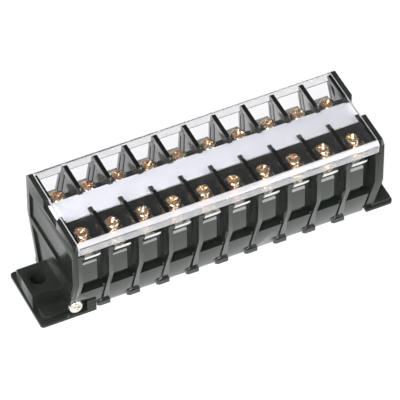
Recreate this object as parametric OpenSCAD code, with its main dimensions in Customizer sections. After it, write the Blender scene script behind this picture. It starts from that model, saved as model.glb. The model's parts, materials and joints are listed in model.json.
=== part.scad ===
// Barrier terminal strip: moulded pole modules side by side between two end
// brackets, with a terminal plate and two self-lifting screws in each pole, a
// marking strip along the middle and a clear cover over the barriers.
// X runs along the row, Y from front to back, Z up. The origin is in the middle
// of the underside.

/* [Row] */
// Number of poles
pole_count = 10; // [2:1:10]
// Distance from one pole to the next
pitch = 13; // [12:0.5:15]

/* [Section] */
// Height over the cover
body_h = 45.5; // [43:0.5:50]
// Depth over the barriers at their widest
body_d = 45.8; // [43:0.2:50]
// Depth over the poles at the base
base_d = 29.8; // [27:0.2:33]
// Height at which the barriers begin to taper towards the base
taper_h = 23.8; // [21:0.2:26]
// Thickness of the barrier between two poles
barrier_t = 1.8; // [1.4:0.1:2.2]
// Gap between a piece that slides and what it slides past
slide_gap = 0.2; // [0.1:0.05:0.3]

/* [Cover] */
// Thickness of the clear cover
cover_t = 1.3; // [1:0.1:1.6]
// Bevel along the cover's long edges
cover_bevel = 1.7; // [1.2:0.1:2.4]
// Height of the lip below the bevel
cover_lip = 3.9; // [3:0.1:5]
// Depth of the reveal between bevel and lip
cover_reveal = 0.35; // [0.2:0.05:0.5]

/* [Marking strip] */
// Width of the marking strip
strip_w = 11.6; // [10:0.2:13]
// Thickness of the marking strip
strip_t = 1; // [0.6:0.1:1.2]
// Depth of the strip's top below the top of the cover
strip_drop = 3.35; // [3:0.05:4]
// How far the front hooks reach over the strip
hook_front = 2.4; // [1.5:0.1:3]
// How far the back hooks reach over the strip
hook_back = 0.9; // [0.6:0.1:1.6]

/* [Terminals] */
// Depth of the terminal plates' top below the top of the cover
plate_drop = 11; // [10.6:0.1:12]
// Thickness of the terminal plates
plate_t = 1.3; // [1:0.1:1.6]
// Width of the terminal plates
plate_w = 7.2; // [6:0.1:7.6]
// Distance of a plate's end from the barriers' edge
plate_setback = 3.3; // [2.5:0.1:4]
// Distance of the screw rows from the middle
screw_y = 11.1; // [10.5:0.1:12]
// Diameter of the terminal screws
screw_d = 3.5; // [3:0.1:4]
// Length of the screws below the head
screw_len = 9.5; // [8.5:0.1:11]
// Diameter of the screw heads
head_d = 7; // [6:0.1:7.6]
// Height of the screw heads
head_h = 3.1; // [2.4:0.1:3.3]
// Side of the square clamp washers
clamp_w = 7.4; // [6.6:0.1:7.8]
// Thickness of the square clamp washers
clamp_t = 1.2; // [0.8:0.1:1.4]
// Thickness of the spring washers
spring_t = 0.9; // [0.6:0.1:1]

/* [Front and back faces] */
// Width of the upper panel, from the barrier
panel_w = 7; // [6:0.1:8]
// Distance of the upper panel from the barriers' edge
panel_setback = 2.7; // [2:0.1:3.5]
// Height of the lower panel
slot_z = 14.8; // [13:0.1:16]
// Height of the slot between the panels
slot_h = 6.2; // [5:0.1:7]
// Depth of the slot, down to the poles' inner wall
slot_depth = 4.3; // [3:0.1:4.8]
// Width of the reveal beside the next pole
joint_w = 1; // [0.6:0.1:1.4]
// Depth of the reveal beside the next pole
joint_depth = 1.2; // [0.6:0.1:1.8]
// Length of the foot tab that laps the pole before it
tab_lap = 2.6; // [1.5:0.1:3.2]
// How far the foot tabs stand out from the base
tab_out = 1.7; // [1:0.1:2]
// Height of the foot tabs
tab_h = 2.2; // [1.6:0.1:3]

/* [End brackets] */
// Thickness of the end brackets
bracket_t = 1.9; // [1.7:0.1:2.2]
// Thickness of the wall behind the brackets' windows
bracket_wall = 1; // [0.8:0.1:1.2]
// Width of the brackets' posts
post_w = 2.6; // [2:0.1:4]
// Height of the brackets' top rim
rim_h = 8.9; // [6:0.1:10]
// Height of the web across each bracket
web_h = 3.2; // [2:0.1:4]
// Distance from the row to the end of the left foot
left_reach = 14.5; // [13:0.1:18]
// Distance from the row to the end of the right foot
right_reach = 12.2; // [12.1:0.1:18]
// Distance from the row to the mounting holes
hole_reach = 7.8; // [7.6:0.1:7.9]
// Thickness of the feet
foot_t = 1.4; // [1.2:0.1:1.8]
// How far the left foot stands out in front of the base
foot_out = 2.9; // [2.7:0.1:3.4]
// Height of the ledge at the front of each foot
ledge_h = 3; // [2.4:0.1:4]
// Height of the platform round each mounting hole
platform_h = 9; // [8:0.1:10]
// Length of the platform from front to back
platform_l = 15.7; // [14:0.1:17]
// Diameter of the mounting holes
hole_d = 4; // [3.6:0.1:4.5]
// Diameter of the counterbores
counterbore_d = 6.4; // [6:0.1:6.6]
// Depth of the counterbores
counterbore_depth = 4.1; // [2:0.1:5]

/* [Tie rods and clamp screw] */
// Diameter of the tie rods
rod_d = 3; // [2.4:0.1:3.4]
// Distance of the tie rods from the middle
rod_y = 4.8; // [4.6:0.1:5]
// Height of the tie rods
rod_z = 3.4; // [2.8:0.1:3.8]
// Diameter of the clamp screw
clamp_screw_d = 3; // [2.6:0.1:3.4]
// Diameter of the clamp screw's head
clamp_head_d = 6.2; // [5.8:0.1:6.6]

/* [Hidden] */
function numbered(name) = [for (i = [1:pole_count]) str(name, "_", i)];
$fn = 48;

// Small clearances and shared dimensions
fit_gap = 0.05;                 // round a rod, a screw or a plate in its seat
lap_gap = 0.12;                 // between a foot tab or arm and the pole it runs along
eps = 0.5;                      // how far a cut runs past a face
row_l = pole_count * pitch;
row_x0 = (left_reach - right_reach - row_l) / 2;
row_x1 = row_x0 + row_l;
wide_y = body_d / 2;
base_y = base_d / 2;
rim_z = body_h - rim_h;
web_z = taper_h - 1.2 - web_h;

// Cover and the space under it
cover_in_z = body_h - cover_t;
lip_z = body_h - cover_bevel - cover_lip;
shell_gap = cover_t + slide_gap;
rebate_z = lip_z - 0.5;

// Marking strip and its groove
strip_top = body_h - strip_drop;
seat_z = strip_top - strip_t;
groove_y = strip_w / 2 + slide_gap;
hook_t = 0.95;
hook_z = strip_top + slide_gap;
spine_y = strip_w / 2 - 0.3;

// Terminals
plate_top = body_h - plate_drop;
plate_y = wide_y - plate_setback;
screw_x = (pitch + barrier_t) / 2;
plate_x = screw_x - plate_w / 2;
plate_z = plate_top - plate_t;
floor_z = plate_top - 0.3;
collar_d = screw_d + 1.8;
collar_h = 2;
well_d = collar_d + 0.6;
head_z = plate_top + clamp_t + spring_t + 2 * fit_gap;
well_z = head_z - screw_len - 1.5;

// Faces of a pole
core_y = taper_y(slot_z) - slot_depth;
panel_y = wide_y - panel_setback;
panel_top = plate_z - 0.8;

// Feet, and the arms that run from them along the end poles
rod_end = 1;                    // tie rod beyond each bracket, inside its platform
arm_len = 9.4;
arm_y = base_y + tab_out;
skirt_y = base_y + foot_out;
skirt_h = (foot_out - lap_gap - 0.5) * taper_h / (wide_y - base_y);
foot_back_y = base_y - 1.2;

// Clamp screw, measured from the row's left end
pocket_d = clamp_head_d + 0.4;
clamp_z = foot_t + pocket_d / 2;
clamp_x = clamp_screw_d / 2 + fit_gap + 0.3 - bracket_wall;
clamp_head_h = 2.2;
clamp_len = 6;
boss_x = clamp_x + clamp_screw_d / 2 + 1.6;
boss_y = [-base_y - 0.7, -base_y + 6.5];
boss_z = [0.8, clamp_z + clamp_screw_d / 2 + 1];
pocket_x = 5.4;

// Half depth of the poles' outline at height z
function taper_y(z) = base_y + (wide_y - base_y) * min(z, taper_h) / taper_h;

// Corner of the cover's section, t inside its outer skin and cut off at height top,
// as a point on the side and one on the top
function shell_corner(t, top) =
    let (side = wide_y - t, bevel_z = body_h - cover_bevel - t * tan(22.5))
    [[side, bevel_z], [side - (top - bevel_z), top]];

// The points in reverse order, on the other side of the middle
function front_of(half) = [for (i = [len(half) - 1:-1:0]) [-half[i][0], half[i][1]]];

// Points of the back half, then those of the front half
function both_halves(half) = concat(half, front_of(half));

// Extrudes a [y, z] outline along X
module along_x(length) rotate([90, 0, 90]) linear_extrude(length) children();

// Places its children at the back and mirrored at the front
module front_and_back() {
    children();
    mirror([0, 1, 0]) children();
}

module at_pole(i) translate([row_x0 + (i - 1) * pitch, 0, 0]) children();

// A bore or rod along X, of the tie rods' place
module rod_bores(d, length) front_and_back()
    translate([0, rod_y, rod_z]) rotate([0, 90, 0]) cylinder(d = d, h = length);

// ---------- pole modules ----------

// Barrier outline: taper, rebate for the cover's lip, hooks over the strip
module barrier_outline() {
    side = concat([[base_y, 0], [wide_y, taper_h], [wide_y, rebate_z],
        [wide_y - shell_gap, rebate_z]], shell_corner(shell_gap, cover_in_z));
    polygon(concat(side, hook(hook_back), front_of(hook(hook_front)), front_of(side)));
}

// One hook over the strip's edge, from the barrier's top to the groove's floor
function hook(reach) = [[groove_y + 0.8, cover_in_z], [groove_y + 0.2, hook_z + hook_t],
    [strip_w / 2 - reach, hook_z + hook_t], [strip_w / 2 - reach, hook_z],
    [groove_y, hook_z], [groove_y, seat_z]];

// Body between two barriers: lower panel, slot, recessed wall, floor and spine
module core_outline(inset) polygon(both_halves([
    [base_y - inset, 0], [taper_y(slot_z) - inset, slot_z], [core_y, slot_z],
    [core_y, floor_z], [spine_y, floor_z], [spine_y, seat_z]]));

// Upper panel with its bevelled top ledge, behind the terminal plate's end
module upper_panel() {
    ledge = 1.1;
    outline = [[core_y - eps, slot_z + slot_h], [panel_y, slot_z + slot_h],
        [panel_y, panel_top - ledge], [panel_y - ledge * 0.7, panel_top], [core_y - eps, panel_top]];
    along_x(panel_w + eps) polygon(outline);
}

// Foot tab at the bottom of a barrier: its bevelled end laps the pole before it
module foot_tab() {
    y0 = taper_y(tab_h) + lap_gap;
    linear_extrude(tab_h) polygon([[-tab_lap, y0], [-tab_lap + tab_out * 0.7, base_y + tab_out],
        [barrier_t + 1.2, base_y + tab_out], [barrier_t + 1.2, base_y - eps], [eps / 2, base_y - eps],
        [eps / 2, y0]]);
}

// Ledge on a barrier beside the wire way, under the cover's lip
module lip_stop() {
    stop = [1.6, 1.9, 1.7];
    translate([barrier_t - eps / 2, wide_y - shell_gap - stop.y, rebate_z - 3.6])
        cube([stop.x + eps / 2, stop.y, stop.z]);
}

// A shallow groove down the barrier's side
module barrier_groove(setback, top) {
    groove = [0.45, 0.7];
    translate([-eps, wide_y - setback - groove.y, taper_h + 1])
        cube([eps + groove.x, groove.y, top - taper_h - 1]);
}

// The grooves near the barrier's edge
module edge_groove() barrier_groove(1.6, rebate_z - 0.8);
module inner_groove() barrier_groove(4.9, rebate_z + 2.6);

// Round-ended recess that takes the inner groove's place in the last barrier
module barrier_recess() {
    w = 2.5;
    straight = 2.9;
    translate([-eps, 0, 0]) along_x(eps + 0.9) translate([wide_y - 5.8, rebate_z + 0.6 - straight]) {
        translate([-w / 2, 0]) square([w, straight]);
        for (end = [0, straight]) translate([0, end]) circle(d = w);
    }
}

// Hollows under the base that keep the moulding's walls even
module base_hollow() {
    wall = 2.2;
    hollow_h = 9;
    y0 = rod_y + rod_d / 2 + 1.2;
    translate([barrier_t + 0.8, y0, -eps])
        cube([pitch - barrier_t - wall, base_y - wall - y0, hollow_h + eps]);
}

module pole_body() {
    difference() {
        union() {
            along_x(barrier_t) barrier_outline();
            translate([barrier_t - eps / 2, 0, 0]) {
                along_x(pitch - barrier_t - joint_w + eps / 2) core_outline(0);
                along_x(pitch - barrier_t + eps / 2) core_outline(joint_depth);
                front_and_back() upper_panel();
            }
            front_and_back() lip_stop();
        }
        front_and_back() edge_groove();
        front_and_back() inner_groove();
        front_and_back() base_hollow();
        front_and_back() translate([screw_x, screw_y, well_z]) cylinder(d = well_d, h = body_h);
        translate([plate_x - fit_gap, -body_d, plate_z])
            cube([plate_w + 2 * fit_gap, 2 * body_d, plate_t + 2 * fit_gap]);
        translate([-eps, 0, 0]) rod_bores(rod_d + 2 * fit_gap, pitch + 2 * eps);
    }
}

module pole(i) color([0.15, 0.16, 0.15]) at_pole(i) {
    difference() {
        union() {
            pole_body();
            if (i > 1) front_and_back() foot_tab();
        }
        if (i == 1) clamp_clearance();
    }
}

// ---------- terminals ----------

// One conductor from front to back, with a tapped collar under each screw
module terminal_plate(i) color([0.8, 0.8, 0.76]) at_pole(i) difference() {
    union() {
        translate([plate_x, -plate_y, plate_z]) cube([plate_w, 2 * plate_y, plate_t]);
        front_and_back() translate([screw_x, screw_y, plate_z - collar_h])
            cylinder(d = collar_d, h = collar_h + plate_t / 2);
    }
    front_and_back() translate([screw_x, screw_y, plate_z - collar_h - eps])
        cylinder(d = screw_d + 2 * fit_gap, h = collar_h + plate_t + 2 * eps);
}

// Domed head and shank, turned as one outline
module screw_outline(d, len, hd, hh) {
    edge = hh * 0.55;
    polygon(concat([[0, -len], [d / 2 - 0.4, -len], [d / 2, -len + 0.5], [d / 2, 0],
        [hd / 2 - 0.25, 0], [hd / 2, 0.3], [hd / 2, edge]],
        [for (a = [15:15:90]) [hd / 2 * cos(a) ^ 0.8, edge + (hh - edge) * sin(a)]]));
}

// Terminal screw with its captive spring washer and square clamp washer
module terminal_screw() {
    hole = screw_d + 0.5;
    translate([0, 0, head_z]) rotate_extrude() screw_outline(screw_d, screw_len, head_d, head_h);
    translate([0, 0, plate_top + clamp_t + fit_gap]) difference() {
        cylinder(d = head_d - 0.8, h = spring_t);
        translate([0, 0, -eps]) cylinder(d = hole, h = spring_t + 2 * eps);
    }
    translate([0, 0, plate_top]) difference() {
        translate([-clamp_w / 2, -clamp_w / 2, 0]) cube([clamp_w, clamp_w, clamp_t]);
        translate([0, 0, -eps]) cylinder(d = hole, h = clamp_t + 2 * eps);
    }
}

module front_screw(i) color([0.75, 0.5, 0.3]) at_pole(i)
    translate([screw_x, -screw_y, 0]) terminal_screw();

module back_screw(i) color([0.75, 0.5, 0.3]) at_pole(i)
    translate([screw_x, screw_y, 0]) terminal_screw();

// ---------- cover and marking strip ----------

module cover() color([0.9, 0.92, 0.95, 0.4]) {
    outer = shell_corner(0, body_h);
    lip_y = wide_y - cover_reveal;
    lip_top = outer[0].y - 0.9;
    skin = concat([[lip_y, lip_z], [lip_y, lip_top], [wide_y, lip_top + cover_reveal]], outer);
    hollow = concat([[wide_y - cover_t, lip_z - eps]], shell_corner(cover_t, cover_in_z));
    translate([row_x0 + slide_gap, 0, 0]) along_x(row_l + barrier_t - 2 * slide_gap)
        difference() {
            polygon(both_halves(skin));
            polygon(both_halves(hollow));
        }
}

module marking_strip() color([0.93, 0.93, 0.95])
    translate([row_x0, -strip_w / 2, seat_z]) cube([row_l + barrier_t, strip_w, strip_t]);

// ---------- end brackets ----------
// Both are drawn with their inner face at x = 0 and their foot towards +X.

// Outline over the cover's section
module bracket_outline() polygon(both_halves(concat([[base_y, 0], [wide_y, taper_h]],
    shell_corner(0, body_h))));

// Upper and lower windows in the outer face
module windows() {
    upper_y = wide_y - post_w;
    polygon([[upper_y, web_z + web_h], [upper_y, rim_z], [-upper_y, rim_z], [-upper_y, web_z + web_h]]);
    polygon(both_halves([[taper_y(ledge_h) - post_w, ledge_h], [taper_y(web_z) - post_w, web_z]]));
}

// A plate from y[0] to y[1] with rounded outer corners
module foot_plate(x1, y, h) {
    r = 1.5;
    translate([0, y[0], 0]) cube([x1 - r, y[1] - y[0], h]);
    translate([0, y[0] + r, 0]) cube([x1, y[1] - y[0] - 2 * r, h]);
    for (cy = [y[0] + r, y[1] - r]) translate([x1 - r, cy, 0]) cylinder(r = r, h = h);
}

// Foot plate with its ledge in front and its platform round the mounting hole
module foot(wall_x, reach, front_y, inset) {
    draft = 0.6;
    foot_plate(reach, [-front_y, foot_back_y], foot_t);
    translate([wall_x, 0, 0])
        foot_plate(reach - inset - wall_x, [inset - front_y, 3 - platform_l / 2], ledge_h);
    translate([wall_x, -platform_l / 2, 0]) cube([reach - draft - wall_x, platform_l, platform_h]);
}

// Section of a bar along a pole's base, out to y and up to z
module arm_outline(y, z, gap)
    polygon([[base_y + gap, 0], [taper_y(z) + gap, z], [y, z], [y, 0]]);

// Bar that runs from the bracket along the end pole's base
module arm(outer_x, y, z) {
    translate([-arm_len, 0, 0]) along_x(arm_len + outer_x) arm_outline(y, z, lap_gap);
    along_x(outer_x) arm_outline(y, z, -eps);
}

module bracket(lap, reach, front_y, inset) {
    outer_x = lap + bracket_t;
    difference() {
        union() {
            difference() {
                union() {
                    if (lap > 0) along_x(lap + eps) barrier_outline();
                    translate([lap, 0, 0]) along_x(bracket_t) bracket_outline();
                }
                translate([lap + bracket_wall, 0, 0]) along_x(bracket_t) windows();
                translate([lap > 0 ? lap : -eps, -groove_y, seat_z])
                    cube([bracket_t + 2 * eps, 2 * groove_y, body_h]);
            }
            foot(lap + bracket_wall - eps / 2, reach, front_y, inset);
            arm(outer_x, arm_y, tab_h);
        }
        translate([hole_reach, 0, -eps]) cylinder(d = hole_d, h = platform_h + 2 * eps);
        translate([hole_reach, 0, platform_h - counterbore_depth])
            cylinder(d = counterbore_d, h = platform_h);
        translate([-eps, 0, 0]) rod_bores(rod_d + 2 * fit_gap, outer_x + eps + rod_end + slide_gap);
    }
}

// Front arm of the left bracket: a low bar that rises to a skirt beside the clamp screw
module front_skirt() mirror([0, 1, 0]) {
    arm(bracket_t, skirt_y, foot_t);
    translate([-arm_len, 0, 0]) along_x(arm_len - pocket_x) arm_outline(skirt_y, skirt_h, lap_gap);
}

// Clamp screw's axis, from the row's left end
module at_clamp() translate([clamp_x, 0, clamp_z]) rotate([90, 0, 0]) children();

// Round pocket for the clamp screw's head
module head_pocket() at_clamp() translate([0, 0, -boss_y[0]]) cylinder(d = pocket_d, h = body_d);

// Space in the first pole for the clamp screw's head and for the boss that it runs in
module clamp_clearance() {
    head_pocket();
    translate([-eps, -body_d, foot_t])
        cube([pocket_x + eps, body_d - base_y + 0.7, skirt_h - foot_t]);
    translate([-eps, boss_y[0] - body_d, boss_z[0] - fit_gap])
        cube([boss_x + eps + fit_gap, boss_y[1] - boss_y[0] + body_d + fit_gap,
            boss_z[1] - boss_z[0] + 2 * fit_gap]);
}

module left_bracket() color([0.15, 0.16, 0.15]) translate([row_x0, 0, 0]) difference() {
    union() {
        difference() {
            mirror([1, 0, 0]) union() {
                bracket(0, left_reach, skirt_y, 2.4);
                front_skirt();
            }
            head_pocket();
        }
        translate([-eps, boss_y[0], boss_z[0]])
            cube([boss_x + eps, boss_y[1] - boss_y[0], boss_z[1] - boss_z[0]]);
    }
    at_clamp() translate([0, 0, -boss_y[1] - eps])
        cylinder(d = clamp_screw_d + 2 * fit_gap, h = boss_y[1] - boss_y[0] + 2 * eps);
}

module right_bracket() color([0.15, 0.16, 0.15]) translate([row_x1, 0, 0]) difference() {
    bracket(barrier_t, right_reach, arm_y, 0.6);
    front_and_back() edge_groove();
    front_and_back() barrier_recess();
}

module clamp_screw() color([0.85, 0.83, 0.78]) translate([row_x0, 0, 0])
    at_clamp() translate([0, 0, -boss_y[0] + slide_gap]) rotate_extrude()
        screw_outline(clamp_screw_d, clamp_len, clamp_head_d, clamp_head_h);

module tie_rod(side) color([0.7, 0.7, 0.7])
    translate([row_x0 - bracket_t - rod_end, side * rod_y, rod_z]) rotate([0, 90, 0])
        cylinder(d = rod_d, h = row_l + barrier_t + 2 * (bracket_t + rod_end));

left_bracket();
right_bracket();
cover();
marking_strip();
clamp_screw();
tie_rod(-1);  // front_tie_rod
tie_rod(1);  // back_tie_rod
for (i = [1:pole_count]) {
    pole(i);
    terminal_plate(i);
    front_screw(i);
    back_screw(i);
}
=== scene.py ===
import json
import math
import random

import bmesh
import bpy
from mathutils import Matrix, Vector

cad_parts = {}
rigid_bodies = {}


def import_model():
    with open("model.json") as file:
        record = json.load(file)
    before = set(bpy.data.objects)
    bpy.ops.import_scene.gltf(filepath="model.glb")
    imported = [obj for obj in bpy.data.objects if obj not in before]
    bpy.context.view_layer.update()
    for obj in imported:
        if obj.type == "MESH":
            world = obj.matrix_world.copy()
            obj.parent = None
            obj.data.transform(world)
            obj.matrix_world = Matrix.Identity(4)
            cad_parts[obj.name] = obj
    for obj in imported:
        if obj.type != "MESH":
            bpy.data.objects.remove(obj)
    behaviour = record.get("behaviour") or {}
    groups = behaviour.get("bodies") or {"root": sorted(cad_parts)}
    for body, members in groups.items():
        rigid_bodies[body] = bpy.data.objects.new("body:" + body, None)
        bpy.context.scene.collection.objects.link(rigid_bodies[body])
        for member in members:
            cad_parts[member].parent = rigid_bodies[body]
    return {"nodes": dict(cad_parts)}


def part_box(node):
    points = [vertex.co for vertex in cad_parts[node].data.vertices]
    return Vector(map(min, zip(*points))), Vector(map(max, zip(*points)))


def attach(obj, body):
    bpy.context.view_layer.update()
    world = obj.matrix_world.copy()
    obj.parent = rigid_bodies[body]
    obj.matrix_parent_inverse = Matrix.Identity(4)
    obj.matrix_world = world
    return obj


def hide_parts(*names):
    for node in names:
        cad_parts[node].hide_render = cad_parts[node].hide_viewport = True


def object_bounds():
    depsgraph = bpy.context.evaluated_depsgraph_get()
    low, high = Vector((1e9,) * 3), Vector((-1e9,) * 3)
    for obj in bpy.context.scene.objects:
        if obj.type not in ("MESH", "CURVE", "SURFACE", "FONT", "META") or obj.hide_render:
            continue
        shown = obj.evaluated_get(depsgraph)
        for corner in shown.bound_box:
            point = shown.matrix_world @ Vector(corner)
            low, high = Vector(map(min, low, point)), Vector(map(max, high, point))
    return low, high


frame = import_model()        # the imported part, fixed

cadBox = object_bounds()
poleCount = sum(name.startswith("pole_") for name in frame["nodes"])
poleNames = [f"pole_{index}" for index in range(1, poleCount + 1)]
print("frame loaded,", poleCount, "poles")

# how the pieces are cleaned and their edges rounded, in metres and radians
softening = {"merge": 1e-6, "flat": math.radians(1.5), "edge": math.radians(28), "smooth": math.radians(32),
             "poles": 0.00018, "ends": 0.00022, "lid": 0.00012, "strip": 0.00012, "plates": 0.00015,
             "screws": 0.00007}


# a node's socket that takes Python's operators, each adding its Math node
class Wire:
    def __init__(self, graph, socket):
        self.graph = graph
        self.socket = socket

    def pick(self, name):
        return Wire(self.graph, self.socket.node.outputs[name])

    def maths(self, operation, *others, clamp=False):
        settings = {"operation": operation, "use_clamp": clamp}
        return self.graph.make("ShaderNodeMath", settings, self, *others)

    def __add__(self, other):
        return self.maths("ADD", other)

    def __radd__(self, other):
        return self.maths("ADD", other)

    def __sub__(self, other):
        return self.maths("SUBTRACT", other)

    def __rsub__(self, other):
        return self.graph.make("ShaderNodeMath", {"operation": "SUBTRACT"}, other, self)

    def __mul__(self, other):
        return self.maths("MULTIPLY", other)

    def __rmul__(self, other):
        return self.maths("MULTIPLY", other)

    def __truediv__(self, other):
        return self.maths("DIVIDE", other)

    def __neg__(self):
        return self.maths("MULTIPLY", -1.0)

    def ramp(self, low, high, toLow=0.0, toHigh=1.0):
        return self.graph.make("ShaderNodeMapRange", {"clamp": True}, self, low, high, toLow, toHigh)


# any node tree: one way to make a node, its settings first, then its sockets by place or by name
class Graph:
    def __init__(self, tree):
        self.tree = tree

    def make(self, kind, settings=None, *values, out=0, **named):
        node = self.tree.nodes.new(kind)
        for name, value in (settings or {}).items():
            if name == "stops":
                self.setStops(node.color_ramp, value)
            elif name == "bends":
                self.setBends(node.mapping, value)
            else:
                setattr(node, name, value)
        for index, value in enumerate(values):
            self.feed(node.inputs[index], value)
        for name, value in named.items():
            self.feed(node.inputs[name.replace("_", " ")], value)
        return Wire(self, node.outputs[out])

    def feed(self, socket, value):
        if isinstance(value, Wire):
            self.tree.links.new(value.socket, socket)
        elif value is not None:
            socket.default_value = value

    def setStops(self, ramp, stops):
        while len(ramp.elements) < len(stops):
            ramp.elements.new(0.5)
        for element, (place, colour) in zip(ramp.elements, stops):
            element.position = place
            element.color = (*colour, 1.0)

    def setBends(self, mapping, levels):
        points = mapping.curves[0].points
        for index in range(1, len(levels) - 1):
            points.new(index / (len(levels) - 1), levels[index])
        points[0].location, points[-1].location = (0.0, levels[0]), (1.0, levels[-1])
        for point in points:
            point.handle_type = "VECTOR"
        mapping.update()


# a material's tree, and the nodes that its finishes share
class ShaderGraph(Graph):
    def __init__(self, material):
        material.use_nodes = True
        super().__init__(material.node_tree)
        self.tree.nodes.clear()
        self.output = self.tree.nodes.new("ShaderNodeOutputMaterial")

    def objectPlace(self, scale=(1, 1, 1), turn=(0, 0, 0)):
        place = self.make("ShaderNodeTexCoord", None, out=3)
        return self.make("ShaderNodeMapping", None, Vector=place, Scale=scale, Rotation=turn)

    def noise(self, place, scale, detail=3.0, roughness=0.5):
        return self.make("ShaderNodeTexNoise", None, Vector=place, Scale=scale, Detail=detail,
                         Roughness=roughness)

    def mixColour(self, factor, first, second):
        node = self.tree.nodes.new("ShaderNodeMix")
        node.data_type = "RGBA"
        self.feed(node.inputs[0], factor)
        for socket, value in ((node.inputs[6], first), (node.inputs[7], second)):
            self.feed(socket, value if isinstance(value, Wire) else (*value, 1.0))
        return Wire(self, node.outputs[2])

    def bump(self, height, strength, distance=0.0001):
        return self.make("ShaderNodeBump", None, Strength=strength, Distance=distance, Height=height)

    def principled(self, **named):
        return self.make("ShaderNodeBsdfPrincipled", None, **named)

    def finish(self, shader):
        self.tree.links.new(shader.socket, self.output.inputs[0])


# a Geometry Nodes tree with named inputs
class ShapeGraph(Graph):
    kinds = {"material": "NodeSocketMaterial", "place": "NodeSocketVector", "facing": "NodeSocketRotation"}

    def __init__(self, name, inputs):
        super().__init__(bpy.data.node_groups.new(name, "GeometryNodeTree"))
        self.ids = {}
        for label in inputs:
            kind = self.kinds.get(label, "NodeSocketFloat")
            item = self.tree.interface.new_socket(label, in_out="INPUT", socket_type=kind)
            self.ids[label] = item.identifier
        self.tree.interface.new_socket("shape", in_out="OUTPUT", socket_type="NodeSocketGeometry")
        self.inlet = self.tree.nodes.new("NodeGroupInput")

    def given(self, label):
        return Wire(self, self.inlet.outputs[label])

    def vector(self, x, y, z):
        return self.make("ShaderNodeCombineXYZ", None, x, y, z)

    def join(self, *shapes):
        joined = self.make("GeometryNodeJoinGeometry")
        for shape in shapes:
            self.tree.links.new(shape.socket, joined.socket.node.inputs[0])
        return joined

    def moved(self, shape, place, turn=None):
        return self.make("GeometryNodeTransform", None, shape, place, turn)

    def sealed(self, shape):
        return self.make("GeometryNodeMergeByDistance", None, shape, Distance=softening["merge"])

    # a turned shape: outline points as shares of a radius and a height, bottom centre to top centre
    def turned(self, outline, radius, height, around):
        grid = self.make("GeometryNodeMeshGrid", None, 1.0, 1.0, around + 1, len(outline))
        spot = self.make("ShaderNodeSeparateXYZ", None, self.make("GeometryNodeInputPosition"))
        angle = (spot.pick("X") + 0.5) * math.tau
        along = spot.pick("Y") + 0.5
        out, up = (self.make("ShaderNodeFloatCurve", {"bends": shares}, 1.0, along)
                   for shares in zip(*outline))
        reach = out * radius
        spot = self.vector(reach * angle.maths("COSINE"), reach * angle.maths("SINE"), up * height)
        return self.sealed(self.make("GeometryNodeSetPosition", None, grid, Position=spot))

    # a flat blank: one outer and one inner curve, filled and given its thickness
    def blank(self, outer, inner, thickness):
        sheet = self.make("GeometryNodeFillCurve", {"mode": "NGONS"}, self.join(outer, inner))
        raised = self.make("GeometryNodeExtrudeMesh", None, sheet, Offset=(0, 0, 1), Offset_Scale=thickness,
                           Individual=False)
        return self.sealed(self.join(raised, self.make("GeometryNodeFlipFaces", None, sheet)))

    def finish(self, shape):
        whole = self.make("GeometryNodeRealizeInstances", None, shape)
        dressed = self.make("GeometryNodeSetMaterial", None, whole, Material=self.given("material"))
        self.tree.links.new(dressed.socket, self.tree.nodes.new("NodeGroupOutput").inputs[0])


def newMaterial(name):
    material = bpy.data.materials.new(name)
    return material, ShaderGraph(material)


# the black moulding's colours, and its clouds, specks and scratches, in waves to a metre
mouldingFinish = {"deep": (0.007, 0.0095, 0.0075), "pale": (0.011, 0.014, 0.0115),
                  "scuff": (0.04, 0.04, 0.038), "scuffShare": 0.25, "scuffRoughness": 0.1,
                  "clouds": 60.0, "specks": 1400.0, "scratches": 900.0, "coatRoughness": 0.1}
poleFinish = {"roughness": 0.2, "coat": 0.6, "grain": 0.03, "ior": 1.5, "reflectionTint": (1.0, 1.0, 1.0)}
# the end pieces' mauve tint is a painted reflection: the mauve that this black plastic shows on its faces
# turned to the left
endFinish = {"roughness": 0.2, "coat": 0.0, "grain": 0.06, "ior": 1.37, "reflectionTint": (1.1, 1.0, 1.05)}


def mouldingMaterial(name, look):
    material, tree = newMaterial(name)
    place = tree.objectPlace()
    clouds = tree.noise(place, mouldingFinish["clouds"], 4.0, 0.6)
    specks = tree.noise(place, mouldingFinish["specks"], 2.0, 0.5)
    drawn = tree.objectPlace(scale=(1.0, 0.18, 0.6), turn=(0.3, 0.2, 0.5))
    scratch = tree.noise(drawn, mouldingFinish["scratches"], 3.0, 0.7)
    scuffs = scratch.ramp(0.66, 0.76) * clouds.ramp(0.52, 0.72)
    # the tint scales both tones; on the end pieces it paints a mauve reflection into the colour
    deep, pale = ([part * share for part, share in zip(mouldingFinish[key], look["reflectionTint"])]
                  for key in ("deep", "pale"))
    colour = tree.mixColour(clouds.ramp(0.35, 0.65), deep, pale)
    colour = tree.mixColour(scuffs * mouldingFinish["scuffShare"], colour, mouldingFinish["scuff"])
    rough = clouds.ramp(0.3, 0.7, -0.02, 0.03) + scuffs * mouldingFinish["scuffRoughness"] + look["roughness"]
    tree.finish(tree.principled(Base_Color=colour, Roughness=rough, IOR=look["ior"], Coat_Weight=look["coat"],
                                Coat_Roughness=mouldingFinish["coatRoughness"],
                                Normal=tree.bump(specks, look["grain"])))
    return material


# passivated zinc: cream, gold and copper by turns
zincFinish = {"stops": ((0.0, (0.94, 0.84, 0.54)), (0.3, (0.68, 0.36, 0.2)), (0.48, (0.96, 0.88, 0.62)),
                        (0.66, (0.52, 0.22, 0.15)), (0.82, (0.84, 0.66, 0.34)), (1.0, (0.95, 0.88, 0.64))),
              "bands": 260.0, "fine": 1800.0, "roughness": 0.24, "grain": 0.06}


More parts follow.
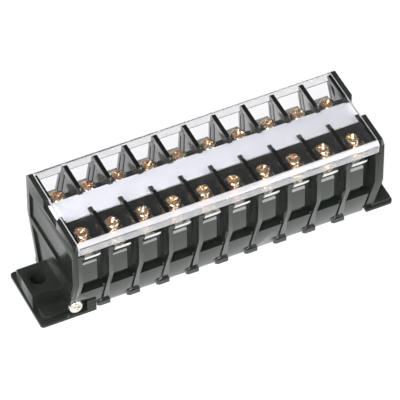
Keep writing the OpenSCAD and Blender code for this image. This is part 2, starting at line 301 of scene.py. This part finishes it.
def yellowZincMaterial():
    material, tree = newMaterial("yellowZinc")
    place = tree.objectPlace()
    bands = tree.noise(place, zincFinish["bands"], 2.5, 0.55)
    fine = tree.noise(place, zincFinish["fine"], 2.0, 0.5)
    colour = tree.make("ShaderNodeValToRGB", {"stops": zincFinish["stops"]}, bands.ramp(0.28, 0.72))
    rough = fine.ramp(0.3, 0.7, -0.04, 0.08) + zincFinish["roughness"]
    tree.finish(tree.principled(Base_Color=colour, Metallic=1.0, Roughness=rough,
                                Normal=tree.bump(fine, zincFinish["grain"])))
    return material


# bright metals: two tones, and how the drawing strokes are stretched
plateFinish = {"warm": (0.86, 0.83, 0.76), "cool": (0.8, 0.8, 0.8), "roughness": 0.2, "stroke": (1, 14, 1)}
clampFinish = {"warm": (0.86, 0.82, 0.68), "cool": (0.72, 0.73, 0.72), "roughness": 0.22, "stroke": (3, 3, 3)}
rodFinish = {"warm": (0.56, 0.55, 0.54), "cool": (0.45, 0.45, 0.46), "roughness": 0.32, "stroke": (0.2, 6, 6)}


def brightMetalMaterial(name, look, strokes=500.0, patches=90.0, grain=0.08):
    material, tree = newMaterial(name)
    strokes = tree.noise(tree.objectPlace(scale=look["stroke"]), strokes, 3.0, 0.6)
    patches = tree.noise(tree.objectPlace(), patches, 2.0, 0.5)
    colour = tree.mixColour(patches.ramp(0.35, 0.65), look["warm"], look["cool"])
    rough = strokes.ramp(0.3, 0.7, -0.05, 0.09) + look["roughness"]
    tree.finish(tree.principled(Base_Color=colour, Metallic=1.0, Roughness=rough,
                                Normal=tree.bump(strokes, grain)))
    return material


sheetFinish = {"first": (0.8, 0.81, 0.86), "second": (0.86, 0.865, 0.9), "mottle": 70.0, "fine": 1600.0,
               "roughness": 0.42, "grain": 0.03}


def markingMaterial():
    material, tree = newMaterial("whiteSheet")
    place = tree.objectPlace()
    mottle = tree.noise(place, sheetFinish["mottle"], 4.0, 0.6)
    fine = tree.noise(place, sheetFinish["fine"], 2.0, 0.5)
    colour = tree.mixColour(mottle.ramp(0.35, 0.65), sheetFinish["first"], sheetFinish["second"])
    rough = fine.ramp(0.3, 0.7, -0.05, 0.07) + sheetFinish["roughness"]
    tree.finish(tree.principled(Base_Color=colour, Roughness=rough,
                                Normal=tree.bump(fine, sheetFinish["grain"])))
    return material


# the lid: clear on top; its bevels, lips and end faces are mixed towards a greyish white, a painted highlight
# for the bright glints along clear plastic's edges, less so at the back
coverFinish = {"bevelDrop": 0.0016, "bevelReach": 0.00216, "lipDepth": 0.0016, "line": 0.00035,
               "lineShare": 1.6, "endWidth": 0.00035, "bevelGlint": 0.55, "lipGlint": 0.3, "endHaze": 0.6,
               "backShare": 0.2, "ior": 1.49, "polish": 0.015, "clouds": 130.0,
               "clear": (0.985, 0.985, 1.0, 1.0), "glintWhite": (0.5, 0.495, 0.515, 1.0)}


def coverMaterial():
    material, tree = newMaterial("clearCover")
    look = coverFinish
    low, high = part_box("cover")
    clouds = tree.noise(tree.objectPlace(), look["clouds"], 3.0, 0.6)
    spot = tree.make("ShaderNodeSeparateXYZ", None, tree.make("ShaderNodeTexCoord", None, out=3))
    across, depth, height = spot.pick("X"), spot.pick("Y").maths("ABSOLUTE"), spot.pick("Z")
    # share of the painted edge highlight: full at the front, the back share at the back
    frontGlintShare = spot.pick("Y").ramp(-0.001, 0.001, 1.0, look["backShare"])
    slope = height + depth - (high[1] + high[2] - look["bevelReach"])
    lipTop = high[2] - look["bevelDrop"] - look["line"]
    aboveLine = height.maths("GREATER_THAN", lipTop + look["line"] * look["lineShare"])
    bevel = slope.maths("GREATER_THAN", 0.0) * aboveLine
    lip = height.maths("LESS_THAN", lipTop) * depth.maths("GREATER_THAN", high[1] - look["lipDepth"])
    middle, half = (low[0] + high[0]) * 0.5, (high[0] - low[0]) * 0.5
    end = (across - middle).maths("ABSOLUTE").maths("GREATER_THAN", half - look["endWidth"])
    # painted highlight: the whitish mix on bevels, lips and end faces stands in for the glints along the
    # lid's edges
    white = (bevel * look["bevelGlint"]).maths("MAXIMUM", lip * look["lipGlint"]) * frontGlintShare
    white = white.maths("MAXIMUM", end * look["endHaze"]) * clouds.ramp(0.3, 0.7, 0.92, 1.0)
    clear = tree.principled(Base_Color=look["clear"], IOR=look["ior"], Transmission_Weight=1.0,
                            Roughness=clouds.ramp(0.35, 0.7, 0.0, 0.03) + look["polish"])
    # the greyish white surface that paints the edge highlight
    glintWhite = tree.principled(Base_Color=look["glintWhite"], IOR=look["ior"],
                            Roughness=clouds.ramp(0.3, 0.7, 0.2, 0.32))
    tree.finish(tree.make("ShaderNodeMixShader", None, white, clear, glintWhite))
    return material


finish = {
    "moulding": mouldingMaterial("blackMoulding", poleFinish),
    "endMoulding": mouldingMaterial("endMoulding", endFinish),
    "zinc": yellowZincMaterial(),
    "plate": brightMetalMaterial("platedSheet", plateFinish),
    "clampScrew": brightMetalMaterial("brightZinc", clampFinish),
    "rod": brightMetalMaterial("drawnSteel", rodFinish),
    "marking": markingMaterial(),
    "cover": coverMaterial(),
}
print("finishes made")


def addPiece(name, mesh, material, body, slot, *nodes):
    piece = bpy.data.objects.new(name, mesh)
    bpy.context.scene.collection.objects.link(piece)
    mesh.materials.clear()
    mesh.materials.append(material)
    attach(piece, body)
    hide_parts(*nodes)


def softenEdges(holder, width, segments):
    bevel = holder.modifiers.new("edges", "BEVEL")
    bevel.width = width
    bevel.segments = segments
    bevel.limit_method = "ANGLE"
    bevel.angle_limit = softening["edge"]
    bevel.use_clamp_overlap = True
    bevel.harden_normals = True


def smooth(mesh):
    for polygon in mesh.polygons:
        polygon.use_smooth = True


# the holder's finished shape as a plain mesh
def castOff(holder):
    mesh = bpy.data.meshes.new_from_object(holder.evaluated_get(bpy.context.evaluated_depsgraph_get()))
    bpy.data.objects.remove(holder)
    return mesh


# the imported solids' loose triangles, sewn up and with their flat faces made whole
def meshOfNodes(nodes):
    joined = bmesh.new()
    for node in nodes:
        single = bmesh.new()
        single.from_mesh(frame["nodes"][node].data)
        bmesh.ops.remove_doubles(single, verts=single.verts, dist=softening["merge"])
        bmesh.ops.dissolve_limit(single, angle_limit=softening["flat"], verts=single.verts,
                                 edges=single.edges)
        copy = bpy.data.meshes.new(node)
        single.to_mesh(copy)
        single.free()
        joined.from_mesh(copy)
        bpy.data.meshes.remove(copy)
    mesh = bpy.data.meshes.new("softened")
    joined.to_mesh(mesh)
    joined.free()
    return mesh


def softened(name, nodes, width, material, body, slot):
    holder = bpy.data.objects.new(name + "Raw", meshOfNodes(nodes))
    bpy.context.scene.collection.objects.link(holder)
    smooth(holder.data)
    softenEdges(holder, width, 2)
    addPiece(name, castOff(holder), material, body, slot, *nodes)


softened("poleRow", poleNames, softening["poles"], finish["moulding"], "row", "black_moulding")
for side in ("left", "right"):
    softened(side + "End", [side + "_bracket"], softening["ends"], finish["endMoulding"], "row",
             "black_moulding")
softened("clearLid", ["cover"], softening["lid"], finish["cover"], "cover", "clear_plastic")
softened("markingSheet", ["marking_strip"], softening["strip"], finish["marking"], "marking_strip",
         "white_plastic")
for index in range(1, poleCount + 1):
    softened(f"terminalPlate{index:02d}", [f"terminal_plate_{index}"], softening["plates"], finish["plate"],
             "row", "plated_plate")
for node in ("front_tie_rod", "back_tie_rod"):
    for slot in frame["nodes"][node].material_slots:
        slot.material = finish["rod"]
print("mouldings, cover, strip and plates made")

# the screws' sizes in metres
terminalScrew = {"headDiameter": 0.007, "headHeight": 0.0031, "recessWidth": 0.0042, "recessDepth": 0.0017,
                 "bladeThickness": 0.0010, "shankDiameter": 0.0035, "threadPitch": 0.0006,
                 "threadDepth": 0.0003, "springDiameter": 0.0062, "springHole": 0.004,
                 "springThickness": 0.0009, "springRise": 0.00022, "washerWidth": 0.0074,
                 "washerCorner": 0.0009, "washerThickness": 0.0012}
footScrew = {"headDiameter": 0.0062, "headHeight": 0.0022, "recessWidth": 0.0038, "recessDepth": 0.0014,
             "bladeThickness": 0.0009, "shankDiameter": 0.003, "threadPitch": 0.0005, "threadDepth": 0.00025}
# how finely they are drawn, and what they share: the shank's reach into the head, the bare pitches below
# and above the thread, the spring washer's turn, and how the recess narrows and turns
drawing = {"headSides": 48, "shankSides": 24, "threadSteps": 16, "ridgeSides": 4, "springSteps": 48,
           "cornerSteps": 6, "holeSides": 32, "shankReach": 0.0002, "barePitches": (0.6, 1.0),
           "springTurn": 0.955, "recessSpread": 0.84, "bladeSpread": 0.4, "seed": 7,
           "recessTurn": math.pi / 2, "clampTurn": 0.6, "forwards": (math.pi / 2, 0.0, 0.0)}
# outlines as shares of a radius and a height, from the bottom's centre to the top's
panHead = ((0, 0), (0.9, 0), (0.97, 0.03), (1, 0.1), (1, 0.34), (0.985, 0.5), (0.945, 0.64), (0.88, 0.755),
           (0.79, 0.845), (0.68, 0.91), (0.55, 0.955), (0.4, 0.982), (0.2, 0.996), (0.06, 1), (0, 1))
plainShank = ((0, 0), (0.8, 0), (1, 0.03), (1, 1), (0, 1))


def screwGraph(name, sizes, washers):
    graph = ShapeGraph(name, ("place", "facing", "recessTurn", "shankLength", *sizes, "material"))
    size = graph.given
    radius, height = size("headDiameter") * 0.5, size("headHeight")
    head = graph.turned(panHead, radius, height, drawing["headSides"])
    head = graph.make("GeometryNodeMeshBoolean", {"operation": "DIFFERENCE", "solver": "EXACT"}, head,
                      recess(graph, height))
    length = size("shankLength")
    core = size("shankDiameter") * 0.5 - size("threadDepth")
    shank = graph.turned(plainShank, core, length + drawing["shankReach"], drawing["shankSides"])
    shank = graph.moved(shank, graph.vector(0, 0, -length))
    start = -length + size("threadPitch") * drawing["barePitches"][0]
    thread = graph.moved(helix(graph, core, length), graph.vector(0, 0, start))
    parts = [head, shank, thread]
    if washers:
        springSeat = -size("springThickness")
        squareSeat = springSeat - size("washerThickness")
        parts += [graph.moved(springWasher(graph), graph.vector(0, 0, springSeat)),
                  graph.moved(squareWasher(graph), graph.vector(0, 0, squareSeat))]
    graph.finish(graph.moved(graph.join(*parts), size("place"), size("facing")))
    return graph


# the cross recess: two blades that narrow towards their tips, crossed and turned together
def recess(graph, top):
    size = graph.given
    depth = size("recessDepth")
    whole = graph.vector(size("recessWidth"), size("bladeThickness"), depth * 2.0)
    blade = graph.make("GeometryNodeMeshCube", None, whole)
    spot = graph.make("ShaderNodeSeparateXYZ", None, graph.make("GeometryNodeInputPosition"))
    spread, thin = drawing["recessSpread"], drawing["bladeSpread"]
    share = (spot.pick("Z") / depth).ramp(-1.0, 1.0, 1.0 - spread, 1.0 + spread)
    narrowed = graph.vector(spot.pick("X") * share, spot.pick("Y") * (share * thin + (1.0 - thin)),
                            spot.pick("Z"))
    blade = graph.make("GeometryNodeSetPosition", None, blade, Position=narrowed)
    across = graph.moved(blade, None, (0, 0, math.pi / 2))
    cross = graph.make("GeometryNodeMeshBoolean", {"operation": "UNION", "solver": "EXACT"}, None,
                       graph.join(blade, across), Self_Intersection=True)
    turn = graph.make("FunctionNodeAxisAngleToRotation", None, (0, 0, 1), size("recessTurn"))
    return graph.moved(cross, graph.vector(0, 0, top), turn)


# the thread: a ridge wound round the shank's core
def helix(graph, core, length):
    size = graph.given
    pitch = size("threadPitch")
    run = length - pitch * sum(drawing["barePitches"])
    path = graph.make("GeometryNodeCurveSpiral", None, drawing["threadSteps"], run / pitch, core, core, run)
    path = graph.make("GeometryNodeSetCurveNormal", {"mode": "Z_UP"}, path)
    ridge = graph.make("GeometryNodeCurvePrimitiveCircle", None, drawing["ridgeSides"],
                       Radius=size("threadDepth"))
    return graph.make("GeometryNodeCurveToMesh", None, path, ridge, Fill_Caps=True)


def springWasher(graph):
    size = graph.given
    middle = (size("springDiameter") + size("springHole")) * 0.25
    width = (size("springDiameter") - size("springHole")) * 0.5
    thickness = size("springThickness") - size("springRise")
    path = graph.make("GeometryNodeCurveSpiral", None, drawing["springSteps"], drawing["springTurn"],
                      middle, middle, size("springRise"))
    path = graph.make("GeometryNodeSetCurveNormal", {"mode": "Z_UP"}, path)
    section = graph.make("GeometryNodeCurvePrimitiveQuadrilateral", None, width, thickness)
    wire = graph.make("GeometryNodeCurveToMesh", None, path, section, Fill_Caps=True)
    return graph.moved(wire, graph.vector(0, 0, thickness * 0.5))


def squareWasher(graph):
    size = graph.given
    width = size("washerWidth")
    rim = graph.make("GeometryNodeCurvePrimitiveQuadrilateral", None, width, width)
    rim = graph.make("GeometryNodeFilletCurve", {"mode": "POLY"}, rim, drawing["cornerSteps"],
                     size("washerCorner"))
    hole = graph.make("GeometryNodeCurvePrimitiveCircle", None, drawing["holeSides"],
                      Radius=size("springHole") * 0.5)
    return graph.blank(rim, hole, size("washerThickness"))


def grow(name, graph, given):
    holder = bpy.data.objects.new(name + "Raw", bpy.data.meshes.new(name + "Raw"))
    bpy.context.scene.collection.objects.link(holder)
    nodes = holder.modifiers.new("shape", "NODES")
    nodes.node_group = graph.tree
    for label, value in given.items():
        nodes[graph.ids[label]] = value
    softenEdges(holder, softening["screws"], 1)
    mesh = castOff(holder)
    smooth(mesh)
    mesh.set_sharp_from_angle(angle=softening["smooth"])
    return mesh


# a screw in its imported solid's place, with its head up or turned forwards
def growScrew(node, graph, sizes, material, slot, turn, facing=(0.0, 0.0, 0.0)):
    low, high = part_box(node)
    middle = (Vector(low) + Vector(high)) * 0.5
    if facing[0]:
        place = (middle.x, low[1] + sizes["headHeight"], middle.z)
        length = high[1] - place[1]
    else:
        place = (middle.x, middle.y, high[2] - sizes["headHeight"])
        length = place[2] - low[2]
    mesh = grow(node, graph, {"place": place, "facing": facing, "recessTurn": turn, "shankLength": length,
                              "material": material, **sizes})
    addPiece(node + "Turned", mesh, material, node, slot, node)


turns = random.Random(drawing["seed"])
captiveGraph = screwGraph("captiveScrew", terminalScrew, True)
for index in range(1, poleCount + 1):
    for side in ("front", "back"):
        growScrew(f"{side}_screw_{index}", captiveGraph, terminalScrew, finish["zinc"], "yellow_zinc",
                  turns.uniform(0, drawing["recessTurn"]))
growScrew("clamp_screw", screwGraph("plainScrew", footScrew, False), footScrew, finish["clampScrew"],
          "zinc_screw", drawing["clampTurn"], drawing["forwards"])
print("screws grown")

# the stage: the floor shows white to the camera and in reflections, and keeps the shadow
stageLook = {"floorSize": 3.0, "floorGap": 0.00005, "floorDiffuse": 0.9, "ownLight": 0.85, "worldSky": 0.3}


def plainFloor():
    level = cadBox[0][2] - stageLook["floorGap"]
    bpy.ops.mesh.primitive_plane_add(size=stageLook["floorSize"], location=(0, 0, level))
    floor = bpy.context.object
    floor.name = "floor"
    material, tree = newMaterial("paleFloor")
    ray = tree.make("ShaderNodeLightPath")
    seen = (ray + ray.pick("Is Glossy Ray")).maths("ADD", ray.pick("Is Transmission Ray"), clamp=True)
    lit = tree.make("ShaderNodeBsdfDiffuse", None, Color=(*(stageLook["floorDiffuse"],) * 3, 1))
    own = tree.make("ShaderNodeEmission", None, Color=(1, 1, 1, 1), Strength=1.0)
    tree.finish(tree.make("ShaderNodeMixShader", None, seen * stageLook["ownLight"], lit, own))
    floor.data.materials.append(material)


def plainWorld():
    world = bpy.data.worlds.new("studio")
    bpy.context.scene.world = world
    world.use_nodes = True
    tree = Graph(world.node_tree)
    background = world.node_tree.nodes["Background"]
    seen = tree.make("ShaderNodeLightPath")
    tree.feed(background.inputs["Strength"], seen.ramp(0.0, 1.0, stageLook["worldSky"], 1.0))
    tree.feed(background.inputs["Color"], (1, 1, 1, 1))


# each lamp: where it hangs, its side in metres, its watts
lamps = {
    "keyPanel": ((-0.55, -0.75, 0.75), 0.7, 26.0),
    "fillPanel": ((0.75, -0.6, 0.55), 0.8, 14.0),
    "backPanel": ((-0.8, 0.35, 0.5), 0.6, 10.0),
}
lampAim = Vector((0, 0, 0.02))


def hangLamp(name, place, side, watts):
    data = bpy.data.lights.new(name, "AREA")
    data.shape = "SQUARE"
    data.size = side
    data.energy = watts
    lamp = bpy.data.objects.new(name, data)
    lamp.location = place
    lamp.rotation_euler = (lampAim - Vector(place)).to_track_quat("-Z", "Y").to_euler()
    bpy.context.scene.collection.objects.link(lamp)


viewing = {"azimuth": -25.447, "elevation": 46.737, "aim": (-0.000976, -0.000937, 0.0229),
           "distance": 1.772, "lens": 399.4, "sensor": 36.0, "reach": 20.0}


def placeCamera():
    data = bpy.data.cameras.new("viewCamera")
    data.lens = viewing["lens"]
    data.sensor_width = viewing["sensor"]
    data.clip_end = viewing["reach"]
    camera = bpy.data.objects.new("viewCamera", data)
    turn, rise = math.radians(viewing["azimuth"]), math.radians(viewing["elevation"])
    backward = Vector((math.sin(turn) * math.cos(rise), -math.cos(turn) * math.cos(rise), math.sin(rise)))
    camera.location = Vector(viewing["aim"]) + backward * viewing["distance"]
    camera.rotation_euler = (math.pi / 2 - rise, 0, turn)
    bpy.context.scene.collection.objects.link(camera)
    bpy.context.scene.camera = camera


plainFloor()
plainWorld()
for name, (place, side, watts) in lamps.items():
    hangLamp(name, place, side, watts)
placeCamera()
bpy.context.scene.view_settings.view_transform = "Standard"
print("stage set")
